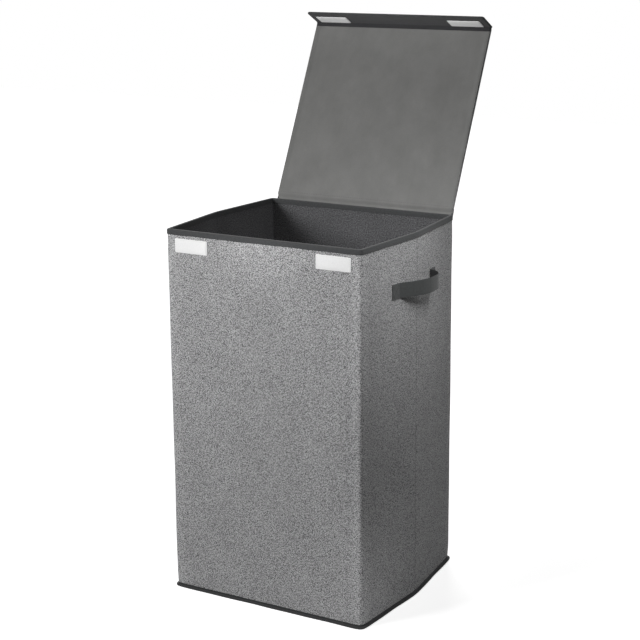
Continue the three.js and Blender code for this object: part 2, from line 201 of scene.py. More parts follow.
def add_mesh(name, points, faces, corner_uv, material, sharp=50):
    """A mesh object from points, faces and a place on the cloth, in metres, for each corner of each face.
    Edges that turn by more than the sharp angle, in degrees, stay crisp."""
    mesh = bpy.data.meshes.new(name)
    mesh.from_pydata(points.reshape(-1, 3).tolist(), [], faces)
    mesh.uv_layers.new(name="cloth").data.foreach_set("uv", np.ravel(corner_uv).astype(np.float32))
    mesh.polygons.foreach_set("use_smooth", np.ones(len(mesh.polygons), bool))
    mesh.set_sharp_from_angle(angle=np.radians(sharp))
    mesh.materials.append(material)
    piece = bpy.data.objects.new(name, mesh)
    bpy.context.scene.collection.objects.link(piece)
    return piece


def numbered(points):
    """The numbers of the points of a grid, in its rows and columns."""
    rows, columns = points.shape[:2]
    return np.arange(rows * columns).reshape(rows, columns)


def quads(grid):
    """The four corners of the quad between each four neighbours of a grid of numbers or places, in the order
    that faces along the row direction crossed with the column direction."""
    return np.stack([grid[:-1, :-1], grid[1:, :-1], grid[1:, 1:], grid[:-1, 1:]], axis=2)


def add_ring(name, points, uv, material):
    """A surface of quads through rows and columns of points, whose columns close on themselves, with a flat
    cap at each end. Its uv has one more column than its points."""
    index = np.pad(numbered(points), ((0, 0), (0, 1)), "wrap")
    faces = quads(index).reshape(-1, 4).tolist() + [index[0, :-1].tolist(), index[-1, :-1][::-1].tolist()]
    corner_uv = np.vstack([quads(uv).reshape(-1, 2), uv[0, :-1], uv[-1, :-1][::-1]])
    return add_mesh(name, points, faces, corner_uv, material)


def add_sheet(name, points, uv, material, thickness):
    """A sheet of cloth: a face through rows and columns of points, which looks along the row direction
    crossed with the column direction, a second face one thickness behind it, and a narrow rim between."""
    along_rows, along_columns = np.gradient(points, axis=0), np.gradient(points, axis=1)
    normal = np.cross(along_rows, along_columns)
    normal /= np.linalg.norm(normal, axis=-1)[..., None]
    front = numbered(points)
    behind = front + front.size
    faces = [quads(front).reshape(-1, 4), quads(behind).reshape(-1, 4)[:, ::-1]]
    edges = [(front[0], behind[0]), (front[-1, ::-1], behind[-1, ::-1]),
             (front[::-1, 0], behind[::-1, 0]), (front[:, -1], behind[:, -1])]
    for near, far in edges:
        faces.append(np.stack([near[:-1], near[1:], far[1:], far[:-1]], -1))
    faces = np.vstack(faces)
    both = np.concatenate([points.reshape(-1, 3), (points - normal * thickness).reshape(-1, 3)])
    places = np.concatenate([uv.reshape(-1, 2)] * 2)
    return add_mesh(name, both, faces.tolist(), places[faces.ravel()], material)


def fade(x, start, end):
    """Goes smoothly from 0 at start to 1 at end: three times the share squared, less twice its cube."""
    share = np.clip((x - start) / (end - start), 0, 1)
    return share * share * (3 - 2 * share)


corner_s = np.outer([1, -1], [corner_start + corner_middle, back_start - corner_middle]).ravel()


def corner_distance(s):
    """The distance along the outline from s to the nearest of the four corners."""
    return np.abs((s[..., None] - corner_s + girth / 2) % girth - girth / 2).min(axis=-1)


def crease_distance(s):
    """The distance along the outline from s to the nearer of the two creases, a quarter of the way round."""
    return np.abs(np.abs((s + girth / 2) % girth - girth / 2) - girth / 4)


def foot_round(s, z):
    """How far the foot seam draws the cloth in at each corner, so that the foot is rounder than the rim: a
    bell round the corner, 1.2 mm deep at the foot and gone 30 mm up."""
    return 0.0012 * np.exp(-((corner_distance(s) / 0.0080) ** 2)) * (1 - fade(z, 0, 0.03))


def slack(s, z):
    """How far the cloth stands off its board: slow crossing waves a few tenths of a millimetre high, faded
    out at the rim and the foot, short puckers where the foot seam draws the cloth in, and a shallow groove
    down the crease of each side wall."""
    wave = np.sin(31 * s + 1.7 * np.sin(17 * z)) + np.sin(23 * z + 1.3 * np.sin(19 * s))
    wave += np.sin(53 * s - 41 * z)
    kept = fade(z, cloth_foot, 0.05) * (1 - fade(z, 0.57, cloth_rim))
    pucker = 1 + np.sin(2 * np.pi * s / 0.013 + 2 * np.sin(29 * s))
    drawn = np.exp(-(z - cloth_foot) / 0.009) * fade(z, cloth_foot, 0.011)
    groove = 0.0004 * np.exp(-((crease_distance(s) / 0.0016) ** 2))
    return 0.00012 * (3 + wave) * kept + 0.00055 * pucker * drawn - groove


def wall_sheet(span, layer, out, high, material, thickness, bending_step, loose):
    """A sheet over one span of the walls: rows run along the outline, closer together on a bending strip and
    at a crease, and columns up the wall, closer together near the foot. Each point stands off the outline by
    the given distance and its slack. The attribute fold, which places the canvas's painted highlight and
    painted shade, is 1 along the corners and falls in a bell to -3 down the creases."""
    name, start, end = span[:3]
    step = 0.006 if span[4] is None else bending_step
    places = np.linspace(start, end, max(int(np.ceil((end - start) / step)), 2) + 1)
    off_crease = 0.001 * np.array([-4, -2.4, -1.4, -0.7, 0.7, 1.4, 2.4, 4])
    beside = (girth / 4 * np.array([[1], [3]]) + off_crease).ravel()
    places = np.union1d(places, beside[(beside > start + 0.0004) & (beside < end - 0.0004)])
    up = np.linspace(0, 1, 110) ** 1.35
    s, z = crossed(places, cloth_foot + (high - cloth_foot) * up)
    x, y = on_outline(s, out + loose(s, z) - foot_round(s, z))
    piece = add_sheet(f"{name}_{layer}", joined(x, y, z), joined(s, z), material, thickness)
    # fold places painted light: 1 for a painted highlight along the corners, -3 for a painted shade down the
    # creases.
    fold = 1 - fade(corner_distance(s), 0.012, 0.021) - 3 * np.exp(-((crease_distance(s) / 0.0012) ** 2))
    both_faces = np.tile(fold.ravel(), 2).astype(np.float32)
    piece.data.attributes.new("fold", "FLOAT", "POINT").data.foreach_set("value", both_faces)
    return piece


def linear(colour):
    """An sRGB hex colour as linear red, green and blue: each channel over 12.92 where it is small, and
    otherwise raised to the power 2.4 after the offset of 0.055."""
    channels = np.array([int(colour[i:i + 2], 16) for i in (1, 3, 5)]) / 255
    curved = np.where(channels <= 0.04045, channels / 12.92, ((channels + 0.055) / 1.055) ** 2.4)
    return (*curved.tolist(), 1.0)


def add_node(tree, kind, inputs=(), **settings):
    """Adds a node with its settings. Each input is given by name or number, as a value or as the output of
    another node, which is then linked to it."""
    node = tree.nodes.new(kind)
    for name, value in settings.items():
        setattr(node, name, value)
    for key, value in dict(inputs).items():
        if isinstance(value, bpy.types.NodeSocket):
            tree.links.new(value, node.inputs[key])
        else:
            node.inputs[key].default_value = value
    return node


def add_material(name, roughness, sheen=0.0, on_cloth=True):
    """A material that is only its surface shader, with its constant values set on the shader itself. Returns
    it with its tree, its shader, and the place of the shaded point, on the cloth or in the object's space."""
    material = bpy.data.materials.new(name)
    material.use_nodes = True
    shader = material.node_tree.nodes["Principled BSDF"]
    shader.inputs["Roughness"].default_value = roughness
    shader.inputs["Specular IOR Level"].default_value = 0.25
    shader.inputs["Sheen Weight"].default_value = sheen
    shader.inputs["Sheen Roughness"].default_value = 0.6
    tree = material.node_tree
    if on_cloth:
        return material, tree, shader, add_node(tree, "ShaderNodeUVMap", uv_map="cloth").outputs[0]
    return material, tree, shader, add_node(tree, "ShaderNodeTexCoord").outputs["Object"]


def calc(tree, operation, *values):
    """The value that one Math node works out from others."""
    return add_node(tree, "ShaderNodeMath", enumerate(values), operation=operation).outputs[0]


def remap(tree, value, low, high, to_low=0.0, to_high=1.0):
    """A value held between low and high, and drawn out or squeezed evenly to lie between two others."""
    ends = {"From Min": low, "From Max": high, "To Min": to_low, "To Max": to_high}
    return add_node(tree, "ShaderNodeMapRange", {"Value": value, **ends}).outputs[0]


def noise(tree, place, scale, detail=2.0, roughness=0.5):
    """Cloudy noise from 0 to 1, whose grain is one over the scale."""
    grain = {"Scale": scale, "Detail": detail, "Roughness": roughness}
    return add_node(tree, "ShaderNodeTexNoise", {"Vector": place, **grain}).outputs["Fac"]


def between(tree, share, dark, light):
    """The colour that lies at a share of the way from one sRGB colour to another."""
    return add_node(tree, "ShaderNodeMix", {"Factor": share, "A": linear(dark), "B": linear(light)},
                    data_type="RGBA").outputs["Result"]


def times(tree, colour, factor):
    """A colour made lighter or darker by a factor."""
    return add_node(tree, "ShaderNodeVectorMath", {0: colour, "Scale": factor}, operation="SCALE").outputs[0]


def add_bump(tree, shader, height, strength, metres):
    """Roughens the shader's surface by a height from 0 to 1 that stands for so many metres. Returns the
    node that does so."""
    bump = add_node(tree, "ShaderNodeBump", {"Height": height, "Strength": strength, "Distance": metres})
    tree.links.new(bump.outputs[0], shader.inputs["Normal"])
    return bump


def in_grains(tree, place, along_mm, across_mm):
    """A place on the cloth counted in grains of along_mm by across_mm."""
    sizes = (1000 / along_mm, 1000 / across_mm, 1)
    return add_node(tree, "ShaderNodeVectorMath", {0: place, 1: sizes}, operation="MULTIPLY").outputs[0]


def yarn_streaks(tree, place, along_mm, across_mm, detail=2.0):
    """Noise drawn out along one thread direction: its grain is along_mm by across_mm on the cloth."""
    return noise(tree, in_grains(tree, place, along_mm, across_mm), 1.0, detail, roughness=0.6)


def yarn_shades(tree, place, grain_mm):
    """A random shade for each short length of yarn that shows: one for each square cell of grain_mm."""
    grains = in_grains(tree, place, grain_mm, grain_mm)
    cell = add_node(tree, "ShaderNodeVectorMath", {0: grains}, operation="FLOOR").outputs[0]
    return add_node(tree, "ShaderNodeTexWhiteNoise", {"Vector": cell}, noise_dimensions="2D").outputs["Value"]


def heathered_canvas(name, light, dark):
    """Plain-woven polyester canvas of mixed light and dark yarn. The yarns run both ways, so the eye sees
    short crossing flecks, a matt face and a slight fuzz. Threads lie about 0.5 mm apart; the flecks are
    drawn 1 to 2 mm long, as coarse as they need to be to show. Along the corners the colour is painted
    paler, a painted highlight, and down the creases it is painted darker, a painted shade."""
    material, tree, shader, place = add_material(name, roughness=0.95, sheen=0.12)
    weft = yarn_streaks(tree, place, 2.2, 0.8, detail=0.0)
    warp = yarn_streaks(tree, place, 0.8, 2.2, detail=0.0)
    threads = calc(tree, "ADD", weft, warp)
    spread = remap(tree, calc(tree, "MULTIPLY_ADD", yarn_shades(tree, place, 1.0), 0.7, threads), 0.93, 1.77)
    clouded = remap(tree, yarn_streaks(tree, place, 70.0, 90.0), 0.3, 0.7, 0.93, 1.05)
    # Painted highlight and painted shade: the fold attribute makes the colour paler along the corners and
    # darker down the creases.
    fold = add_node(tree, "ShaderNodeAttribute", attribute_name="fold").outputs["Fac"]
    clouds_and_painted_fold_light = calc(tree, "MULTIPLY_ADD", fold, 0.11, clouded)
    tree.links.new(times(tree, between(tree, spread, dark, light), clouds_and_painted_fold_light), shader.inputs["Base Color"])
    add_bump(tree, shader, threads, strength=0.3, metres=0.0004)
    return material


canvas = heathered_canvas("heathered_polyester_canvas", "#cacacb", "#363637")
for span in spans:
    piece = wall_sheet(span, "canvas", 0.0, cloth_rim, canvas, cloth_thickness, bending_step=0.0012,
                       loose=slack)
    set_on_walls(piece, span, "fabric")

# Stiffener boards. Grey-brown chipboard, die-cut and slipped between the cloth and the lining. They are the
# plain plates of the solid model, and show nothing but their edges where the cloth ends at a fold.


def chipboard():
    """Pressed waste-paper board: a dull grey brown with short darker fibres, two millimetres thick."""
    material, tree, shader, place = add_material("grey_chipboard", roughness=0.85, on_cloth=False)
    fibres = noise(tree, place, 1000 / 2.5, detail=4.0)
    tree.links.new(between(tree, fibres, "#7d715c", "#a2957c"), shader.inputs["Base Color"])
    return material


board_material = chipboard()
for node_name, node in frame["nodes"].items():
    if node_name.endswith("_board") or node_name == "base_board_panel":
        node.data.materials.clear()
        node.data.materials.append(board_material)

# Lining of the walls. Black spun-bonded cloth, cut a little taller than the boards and bound in at the rim
# and the foot. It drapes rather than stretches, so it is slightly wavier than the canvas.
lining_thickness = 0.0006
lining_out = -0.0034


def lining_slack(s, z):
    """The lining's waves, which go inwards only: slow vertical folds crossed by slower level ones. On the
    back wall, where the lifted base board leans, they are a sixth as high."""
    wave = np.sin(43 * s + 0.9 * np.sin(14 * z)) + np.sin(11 * z + 2.2 * np.sin(9 * s))
    wave += np.sin(71 * s + 23 * z)
    height = -0.00022 * (1 / 6 + 5 / 6 * fade(np.abs(s - girth / 2), 0.195, 0.235))
    return height * (3 + wave) * fade(z, cloth_foot, 0.06) * (1 - fade(z, 0.585, 0.611))


def spun_bonded(name, light, dark, contrast=1.0):
    """Spun-bonded polypropylene cloth: matt, with fine tangled fibres, and pressed all over with small welded
    dots. The dots lie about 1 mm apart and are drawn at 2 mm, so that they show."""
    material, tree, shader, place = add_material(name, roughness=0.9, sheen=0.1)
    fibres = yarn_streaks(tree, place, 2.2, 2.2, detail=4.0)
    crumple = yarn_streaks(tree, place, 45.0, 60.0, detail=3.0)
    cells = {"Vector": place, "Scale": 1000 / 2.0, "Randomness": 0.35}
    dots = add_node(tree, "ShaderNodeTexVoronoi", cells).outputs["Distance"]
    spread = remap(tree, fibres, 0.5 - 0.5 / contrast, 0.5 + 0.5 / contrast)
    clouded = remap(tree, crumple, 0.3, 0.7, 0.9, 1.08)
    tree.links.new(times(tree, between(tree, spread, dark, light), clouded), shader.inputs["Base Color"])
    soft = add_node(tree, "ShaderNodeBump", {"Height": crumple, "Strength": 0.25, "Distance": 0.004})
    dotted = add_bump(tree, shader, dots, strength=0.3, metres=0.0003)
    tree.links.new(soft.outputs[0], dotted.inputs["Normal"])
    return material


black_lining = spun_bonded("black_spun_bonded_lining", "#6a6a6c", "#222224", contrast=2.5)
for span in spans:
    piece = wall_sheet(span, "inner_cloth", lining_out, cloth_rim - 0.0002, black_lining, lining_thickness,
                       bending_step=0.0015, loose=lining_slack)
    set_on_walls(piece, span, "lining")

# Rim tape. Dark woven tape, folded over the top edges of canvas, board and lining and sewn through with one
# row of thread. It is a folded strip carried along the outline of the walls.
rim_top, tape_drop, tape_thickness = 0.620, 0.0088, 0.0008
tape_outer, tape_inner, tape_fold = 0.0011, -0.0051, 0.0021


def folded_tape(outer, inner, drop, top, fold, thickness):
    """The section of a folded tape, out and up: up its outer side, round two quarter arcs over the top, down
    its inner side, and back along the same line one thickness further in."""
    quarter = np.linspace(0, np.pi / 2, 7)
    bottom = top - drop

    def side(inset, radius):
        rise = top - inset - radius
        right = [outer - inset - radius + radius * np.cos(quarter), rise + radius * np.sin(quarter)]
        left = [inner + inset + radius - radius * np.sin(quarter), rise + radius * np.cos(quarter)]
        swell = 0.0002 * (inset == 0)
        low_right = [[outer - inset - swell, bottom], [outer - inset, bottom + 0.0012]]
        low_left = [[inner + inset, bottom + 0.0012], [inner + inset + swell, bottom]]
        return np.vstack([low_right, joined(*right), joined(*left), low_left])

    return np.vstack([side(0, fold), side(thickness, fold - thickness)[::-1]])


def add_tape(name, points, along, section):
    """A strip of tape with a closed section, from its points: rows are places along it and columns go round
    the section. The cloth's place across is the distance along the section."""
    uv = joined(*crossed(along, distance_along(np.vstack([section, section[:1]]))))
    return add_ring(name, points, uv, tape)


def carry_tape(name, s, section):
    """The rim tape from place to place along the outline of the walls: each point of its section is moved out
    and up as the section says. The lower edge wanders a little, as a sewn tape's does."""
    x, y = on_outline(s[:, None], section[:, 0])
    low = 1 - fade(section[:, 1], rim_top - tape_drop, rim_top)
    drift = 0.00018 * (np.sin(37 * s) + np.sin(101 * s + 2))[:, None] * low
    return add_tape(name, joined(x, y, section[:, 1] + drift), s, section)


def woven_tape(name, light, dark):
    """Narrow twill-woven polyester tape: matt, dark, with fine slanting ribs. Ribs lie about 0.7 mm apart and
    are drawn at 1.6 mm, so that they show."""
    material, tree, shader, place = add_material(name, roughness=0.85, sheen=0.15)
    apart = add_node(tree, "ShaderNodeSeparateXYZ", {0: place}).outputs
    turned = calc(tree, "MULTIPLY", calc(tree, "ADD", apart[0], apart[1]), 2 * np.pi * 1000 / 1.6)
    rib = calc(tree, "SINE", turned)
    mixed = calc(tree, "MULTIPLY_ADD", rib, 0.12, yarn_streaks(tree, place, 4.0, 1.5))
    tree.links.new(between(tree, mixed, dark, light), shader.inputs["Base Color"])
    add_bump(tree, shader, mixed, strength=0.4, metres=0.0004)
    return material


tape = woven_tape("dark_twill_tape", "#474849", "#252627")
tape_section = folded_tape(tape_outer, tape_inner, tape_drop, rim_top, tape_fold, tape_thickness)
for span in spans:
    name, start, end = span[:3]
    step = 0.005 if span[4] is None else 0.001
    places = np.linspace(start, end, int(np.ceil((end - start) / step)) + 1)
    set_on_walls(carry_tape(f"{name}_binding", places, tape_section), span, "rim_tape")

# Thread in the rim tape. One row of dark polyester lockstitch, 2 mm above the tape's lower edge. It is pulled
# tight, and shows on the outside as a row of short dashes sunk halfway into the tape.
thread_radius, thread_inset = 0.00028, 0.002


def add_stitches(name, starts, ends, out, material):
    """One short arch of thread from each start to each end: its middle line rises along the out direction by
    one radius times one minus the square of the place along it, and its radius thins towards both ends by the
    root of one minus the fourth power. Each has five rings of five points."""
    along = np.linspace(-0.97, 0.97, 5)[None, :, None, None]
    turn = (np.arange(5) * 2 * np.pi / 5)[None, None, :, None]
    way = (ends - starts) / np.linalg.norm(ends - starts, axis=1)[:, None]
    flank = np.cross(way, out)
    starts, ends, out, flank = (a[:, None, None, :] for a in (starts, ends, out, flank))
    middle = (starts + ends) / 2 + (ends - starts) / 2 * along + out * thread_radius * (1 - along**2)
    radius = thread_radius * np.sqrt(1 - along**4)
    points = middle + radius * (np.cos(turn) * flank + np.sin(turn) * out)
    count = len(points)
    index = np.arange(count * 25).reshape(count, 5, 5)
    onward = np.roll(index, -1, axis=2)
    skin = np.stack([index[:, :-1], index[:, 1:], onward[:, 1:], onward[:, :-1]], axis=-1).reshape(-1, 4)
    caps = np.vstack([index[:, 0], index[:, -1, ::-1]])
    corner_uv = np.zeros((skin.size + caps.size, 2))
    return add_mesh(name, points, skin.tolist() + caps.tolist(), corner_uv, material, sharp=180)


def spun_thread(name, colour):
    """Spun polyester sewing thread: dull, with a soft lustre, and too fine for its twist to show."""
    material, tree, shader, place = add_material(name, roughness=0.6, sheen=0.2, on_cloth=False)
    toned = remap(tree, noise(tree, place, 300.0), 0.0, 1.0, 0.8, 1.15)
    tree.links.new(times(tree, linear(colour)[:3], toned), shader.inputs["Base Color"])
    return material


def sew(name, rows, material, pitch=0.0036, length=0.0026):
    """Rows of stitches, each given by a path and the way out at each of its points. Stitches start one pitch
    apart, with half of the remainder left over at each end of the row, and each is straight."""
    starts, ends, ways = [], [], []
    for path, out in rows:
        distance = distance_along(path)
        first = np.arange((distance[-1] - length) % pitch / 2, distance[-1] - length, pitch)
        for found, values, offset in [(starts, path, 0), (ends, path, length), (ways, out, length / 2)]:
            found.append(joined(*(np.interp(first + offset, distance, column) for column in values.T)))
    ways = np.vstack(ways)
    ways /= np.linalg.norm(ways, axis=1)[:, None]
    return add_stitches(name, np.vstack(starts), np.vstack(ends), ways, material)


dark_thread = spun_thread("dark_polyester_thread", "#2c2d2e")
for span in spans:
    name, start, end = span[:3]
    places = np.linspace(start, end, int((end - start) / 0.001) + 2)
    height = rim_top - tape_drop + thread_inset
    face, beyond = (joined(*on_outline(places, tape_outer + out), height) for out in (-0.0003, 0.001))
    piece = sew(f"{name}_rim_thread", [(face, beyond - face)], dark_thread)
    set_on_walls(piece, span)

# Foot seam. Walls and floor cloth meet at the foot in a seam that sticks out as a small lip, bound in black
# tape. The floor cloth closes the bottom. Both ride on the back wall.
seam_height, seam_lip, seam_inside = 0.0058, 0.0045, -0.0036


def bound_seam():
    """The section of the bound lip, out and up: a flat bottom, a round bead at the outer edge, and a neck
    that slopes back in to the wall under the canvas, closed along its inner side."""
    bead = np.linspace(-np.pi / 2, np.pi * 0.45, 10)
    radius = 0.0016
    round_bead = joined(seam_lip - radius + radius * np.cos(bead), radius + radius * np.sin(bead))
    neck = [[0.0020, 0.0029], [0.0012, 0.0033], [0.0005, 0.0042], [0.0002, 0.0050], [0.0, seam_height]]
    inner = [[seam_inside, seam_height], [seam_inside, 0.0003], [seam_inside + 0.0003, 0.0]]
    return np.vstack([round_bead, neck, inner])


black_tape = woven_tape("black_seam_tape", "#3a3b3c", "#1d1e1f")
seam_section = bound_seam()
loop_s = np.linspace(0, girth, 660)[:-1]
seam_round = foot_round(loop_s, 0.003)[:, None]
seam_wave = 0.00025 * (np.sin(41 * loop_s) + np.sin(83 * loop_s + 1))[:, None] * (seam_section[:, 0] > 0.001)
x, y = on_outline(loop_s[:, None], seam_section[:, 0] - seam_round + seam_wave)
seam_points = joined(x, y, seam_section[:, 1])


def add_torus(name, points, uv, material):
    """A surface of quads whose rows and columns both close on themselves. Its uv has one row and one column
    more than its points."""
    index = np.pad(numbered(points), ((0, 1), (0, 1)), "wrap")
    return add_mesh(name, points, quads(index).reshape(-1, 4).tolist(), quads(uv), material)


def set_on(piece, body, solid=None):
    """Sets a piece to ride on a body, and hides the solid, if any, that it stands for."""
    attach(piece, body)
    if solid is not None:
        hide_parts(solid)


seam_uv = joined(*crossed(np.append(loop_s, girth), np.linspace(0, 0.026, len(seam_section) + 1)))
foot_seam = add_torus("foot_seam_tape", seam_points, seam_uv, black_tape)
set_on(foot_seam, "back_wall", "base_seam_binding")
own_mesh(foot_seam)

floor_s = np.linspace(0, girth, 161)[:-1]
floor_share = np.linspace(0.02, 1, 24)
edge_x, edge_y = on_outline(floor_s, -0.0030 - foot_round(floor_s, 0.003))
floor_x, floor_y = edge_x[:, None] * floor_share, edge_y[:, None] * floor_share
floor_z = 0.0009 + 0.0001 * np.sin(60 * floor_x) * np.sin(47 * floor_y)
floor_points = joined(floor_x, floor_y, floor_z)


def add_disc(name, points, material):
    """A flat sheet from rings about its middle: rows go round it, columns from the middle out, and a small
    many-sided face closes the middle. Its place on the cloth is its own x and y."""
    index = np.pad(numbered(points), ((0, 1), (0, 0)), "wrap")
    faces = quads(index).reshape(-1, 4)[:, [0, 3, 2, 1]]
    places = points.reshape(-1, 3)[:, :2]
    corner_uv = np.vstack([places[faces.ravel()], places[index[:-1, 0]]])
    return add_mesh(name, points, faces.tolist() + [index[:-1, 0].tolist()], corner_uv, material)


def thicken(piece, thickness):
    """Gives a single face of cloth its thickness, on the side that it looks away from."""
    solidify = piece.modifiers.new("thickness", "SOLIDIFY")
    solidify.thickness, solidify.offset = thickness, -1


floor_cloth = add_disc("floor_cloth", floor_points, black_lining)
thicken(floor_cloth, lining_thickness)
set_on(floor_cloth, "back_wall", "base_cloth")
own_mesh(floor_cloth)

# Base board. A loose chipboard plate in a sewn cover of the same black cloth, laid on the floor cloth. It is
# lifted out of the way, about its rear edge, before the hamper is folded.


def rounded_box(low, high, corner, edge):
    """The skin of a flat plate between two corners of its box. Rings go round its outline, which has round
    corners; from the middle of the top they run out, turn round the edge by a half circle squeezed to the
    plate's height, and come back under it. Rows are the rings and columns go round."""
    (x0, y0, z0), (x1, y1, z1) = low, high
    corners = np.array([[x1, y0], [x1, y1], [x0, y1], [x0, y0]])
    ring, _ = round_corners(corners, np.full(4, corner), 7)
    centre = np.array([(x0 + x1) / 2, (y0 + y1) / 2])
    half = np.array([(x1 - x0) / 2, (y1 - y0) / 2])
    turn = np.linspace(np.pi / 2, -np.pi / 2, 9)
    inwards = half.min() * np.array([0.1, 0.3, 0.6, 0.9])
    inset = np.concatenate([inwards[::-1], edge * (1 - np.cos(turn)), inwards])
    height = np.concatenate([np.ones(4), np.sin(turn), -np.ones(4)])
    share = (half[None, :] - inset[:, None]) / half[None, :]
    xy = centre + (ring - centre)[None] * share[:, None, :]
    z = (z0 + z1) / 2 + height * (z1 - z0) / 2
    return joined(xy[..., 0], xy[..., 1], z[:, None])


def add_plate(name, points, skin, material):
    """A closed plate from rings of points, with a many-sided face at the middle of each side. Its place on
    the cloth is the x and y of its skin as it was first drawn."""
    return add_ring(name, points, np.hstack([skin, skin[:, :1]])[..., :2], material)


low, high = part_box("base_board_cover")
cover_skin = rounded_box(low, high, corner=0.005, edge=0.0016)
board_cover = add_plate("base_board_cloth", cover_skin, cover_skin, black_lining)
set_on(board_cover, "base_board", "base_board_cover")

# Handles. 25 mm polyester webbing with its ends folded under and sewn flat to the side walls in a box of
# thread. Between the sewn ends the strap bows out across the crease.
strap_height, strap_width, strap_thickness = 0.536, 0.025, 0.0016
strap_half, strap_tab, strap_bow, strap_fullness = 0.076, 0.021, 0.028, 2.7


def cloth_x(y):
    """Where the right side wall's cloth lies at a distance y from its crease, with 0.3 mm of room."""
    return np.interp(y, [0, half_depth], [crease_x, half_width]) + 0.0003


def strap_line(y):
    """Where the strap's inner face lies at y: on the wall at each sewn end, and between them bowed out by one
    minus the distance from the middle, as a share, raised to the fullness. The strap hangs a little to the
    rear, so the share is skewed by three tenths of one minus its square."""
    reach = strap_half - strap_tab
    share = np.clip(y / reach, -1, 1)
    share = np.abs(share - 0.3 * (1 - share**2))
    bowed = cloth_x(reach) + strap_bow * (1 - share**strap_fullness)
    return np.where(np.abs(y) < reach, bowed, cloth_x(np.abs(y)))


def strap(y, side):
    """Carries the strap's section along its line: a flat loop with round edges, its width up and its
    thickness square to the line. Rows run along the strap and columns round its section."""
    turn = np.linspace(0, 2 * np.pi, 33)[:-1]
    flat_up = np.sign(np.sin(turn)) * np.abs(np.sin(turn)) ** 0.35 * strap_width / 2
    flat_out = np.sign(np.cos(turn)) * np.abs(np.cos(turn)) ** 0.6 * strap_thickness / 2
    x = strap_line(y) + strap_thickness / 2
    way = joined(np.gradient(x), np.gradient(y))
    way /= np.linalg.norm(way, axis=1)[:, None]
    px = x[:, None] + way[:, 1:] * flat_out
    py = y[:, None] - way[:, :1] * flat_out
    curl = 0.0006 * np.sin(np.pi * np.clip(y / strap_half, -1, 1))[:, None]
    round_strap = np.linspace(0, 2 * (strap_width + strap_thickness), 33)
    points = joined(side * px, py, strap_height + flat_up + curl)
    uv = joined(*crossed(distance_along(joined(x, y)), round_strap))
    return (points, uv) if side > 0 else (points[:, ::-1], uv[:, ::-1])


def ribbed_webbing(name, light, dark):
    """Heavy plain-woven polyester webbing: a fine rib across its width about every 1.5 mm, with herringbone
    threads along it, dull with a slight shine on the ribs."""
    material, tree, shader, place = add_material(name, roughness=0.7, sheen=0.15)
    wave = {"Vector": place, "Scale": 2 * np.pi / 20 / 0.0022, "Distortion": 0.4, "Detail": 1.0}
    ribs = add_node(tree, "ShaderNodeTexWave", wave, bands_direction="X").outputs["Fac"]
    mixed = calc(tree, "MULTIPLY_ADD", ribs, 0.35, yarn_streaks(tree, place, 3.0, 0.9))
    tree.links.new(between(tree, mixed, dark, light), shader.inputs["Base Color"])
    add_bump(tree, shader, mixed, strength=0.5, metres=0.0004)
    return material


webbing = ribbed_webbing("dark_polyester_webbing", "#414343", "#272929")
whole_strap = np.concatenate([
    np.linspace(-strap_half, -strap_half + strap_tab, 12)[:-1],
    (strap_half - strap_tab) * np.sin(np.linspace(-np.pi / 2, np.pi / 2, 61)),
    np.linspace(strap_half - strap_tab, strap_half, 12)[1:],
])
wall_slope = (crease_x - half_width) / half_depth


def carry_strap(piece, side, end):
    """Sets a piece of one half of a handle to ride on its half of the side wall, with a mesh of its own."""
    set_on(piece, f"{side}_{end}_wall")
    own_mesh(piece)


strap_halves = [(side, end, sign, way) for side, sign in [("right", 1), ("left", -1)]
                for end, way in [("front", -1), ("rear", 1)]]
for side, end, sign, way in strap_halves:
    half_strap = whole_strap[way * whole_strap > -1e-9]
    piece = add_ring(f"{side}_{end}_strap", *strap(half_strap, sign), webbing)
    carry_strap(piece, side, end)
    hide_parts(f"{side}_handle")

# Thread in the handles. Each sewn end is fixed with a box of black thread, 16 mm long and 19 mm high, with a
# cross inside it.
box_low, box_high, box_rise = 0.0575, 0.0735, 0.0095
black_thread = spun_thread("black_polyester_thread", "#1b1c1d")


def box_stitch(side, way):
    """The six rows of one box with its cross, on the strap's outer face: four sides and two diagonals, each a
    straight row of twelve points between two corners."""
    corner_y = way * np.array([box_low, box_high, box_high, box_low])
    corner_z = strap_height + box_rise * np.array([-1, -1, 1, 1])
    rows = []
    for a, b in [(0, 1), (1, 2), (2, 3), (3, 0), (0, 2), (1, 3)]:
        y, z = np.linspace(corner_y[a], corner_y[b], 12), np.linspace(corner_z[a], corner_z[b], 12)
        path = joined(side * (strap_line(y) + strap_thickness), y, z)
        rows.append((path, np.tile([float(side), way * wall_slope, 0.0], (12, 1))))
    return rows


for side, end, sign, way in strap_halves:
    piece = sew(f"{side}_{end}_strap_thread", box_stitch(sign, way), black_thread)
    carry_strap(piece, side, end)

# Rear flap. The lid's canvas runs down behind the rim as a flap, which is sewn to the back wall, so that the
# lid can swing and stay leaning back. The flap is plain canvas with no board, and is lined like the lid.
seam_y, seam_z = pivot["rear_flap_hinge"][1:]
lid_crease_y, lid_crease_z = pivot["lid_hinge"][1:]
fold_y, fold_z = pivot["front_flap_fold"][1:]
lean = np.arctan2(fold_y - lid_crease_y, fold_z - lid_crease_z)
lid_length = np.hypot(fold_y - lid_crease_y, fold_z - lid_crease_z)
rear_length = np.hypot(lid_crease_y - seam_y, lid_crease_z - seam_z)
lid_half, lining_half, lining_width = 0.174, 0.1726, 0.345
canvas_half = cloth_thickness / 2
thin_canvas, thin_lining = 0.0004, 0.0002
lid_way = np.array([0, np.sin(lean), np.cos(lean)])


def on_lid(x, along, height):
    """A place on the leaning lid, from its sideways place, its distance along the lid from the rear crease
    and its height behind the middle of the canvas: the lid leans back by its angle from upright."""
    y = lid_crease_y + along * np.sin(lean) + height * np.cos(lean)
    z = lid_crease_z + along * np.cos(lean) - height * np.sin(lean)
    return joined(x, y, z)


